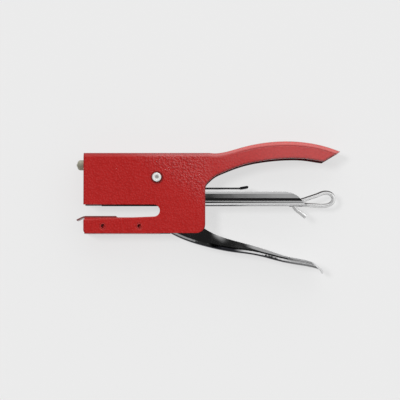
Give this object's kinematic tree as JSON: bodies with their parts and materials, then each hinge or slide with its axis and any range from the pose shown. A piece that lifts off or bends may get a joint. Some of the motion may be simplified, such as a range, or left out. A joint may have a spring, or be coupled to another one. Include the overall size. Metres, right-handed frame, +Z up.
{
  "type": "plier stapler",
  "caption": "Hand-held plier stapler with a folded painted shell, plated squeeze lever, tilting staple magazine with sprung pusher and wire pull eye, catch leaf and anvil.",
  "frame": {"origin": "under the middle of the bounding box, on the table that the stapler lies on", "axes": "+X from the nose to the handle ends, +Y from the lever to the upper handle, +Z up across the tool's thickness"},
  "size_m": [0.1738, 0.087, 0.0223],
  "materials": {
    "red_paint": "hammertone gloss",
    "bright_chrome": "polished",
    "zinc": "zinc plated",
    "dull_plate": "dull plated",
    "steel": "bare",
    "blued_steel": "blued spring steel",
    "spring_wire": "drawn wire"
  },
  "bodies": {
    "frame": {"body_shell": "red_paint", "nose_plate": "red_paint", "nose_stud": "dull_plate", "anvil_channel": "red_paint", "anvil_plate": "steel", "arm_rivet_front": "red_paint", "arm_rivet_rear": "red_paint", "pivot_pin": "zinc", "pivot_bush": "steel", "return_spring": "spring_wire"},
    "lever": {"lever": "bright_chrome", "lever_bridge": "steel"},
    "magazine": {"magazine_channel": "bright_chrome", "driver_guide": "steel", "staple_rail": "steel", "rod_guide": "steel", "spring_seat": "steel", "catch_pin": "steel", "clamp_spring": "spring_wire"},
    "driver": {"driver_blade": "blued_steel"},
    "follower": {"pull_rod": "bright_chrome", "rod_clip": "steel", "pusher": "zinc", "pusher_spring": "spring_wire"},
    "catch": {"magazine_catch": "blued_steel"}
  },
  "joints": [
    {"name": "lever_squeeze", "type": "hinge", "parent": "frame", "child": "lever", "pos_m": [-0.03382, 0.01955, 0.01115], "axis": [0, 0, 1], "range_deg": [0, 16.5], "stiffness_Nm_per_rad": 2.5, "springref_deg": -9.17, "deforming": ["return_spring", "clamp_spring"]},
    {"name": "magazine_tilt", "type": "hinge", "parent": "frame", "child": "magazine", "pos_m": [-0.03382, 0.01955, 0.01115], "axis": [0, 0, 1], "range_deg": [0, 9]},
    {"name": "driver_drop", "type": "slide", "parent": "magazine", "child": "driver", "axis": [0, -1, 0], "range_m": [0, 0.0059]},
    {"name": "pusher_pull", "type": "slide", "parent": "magazine", "child": "follower", "axis": [1, 0, 0], "range_m": [0, 0.07], "stiffness_N_per_m": 30, "springref_m": -0.1, "deforming": ["pusher_spring"]},
    {"name": "catch_lift", "type": "hinge", "parent": "magazine", "child": "catch", "pos_m": [-0.02432, 0.01405, 0.01115], "axis": [0, 0, 1], "range_deg": [0, 10], "stiffness_Nm_per_rad": 0.05, "springref_deg": -5.73}
  ],
  "couplings": [
    {"joint": "magazine_tilt", "follows": "lever_squeeze", "ratio": 0.5454},
    {"joint": "driver_drop", "follows": "lever_squeeze", "m_per_rad": 0.02028}
  ]
}
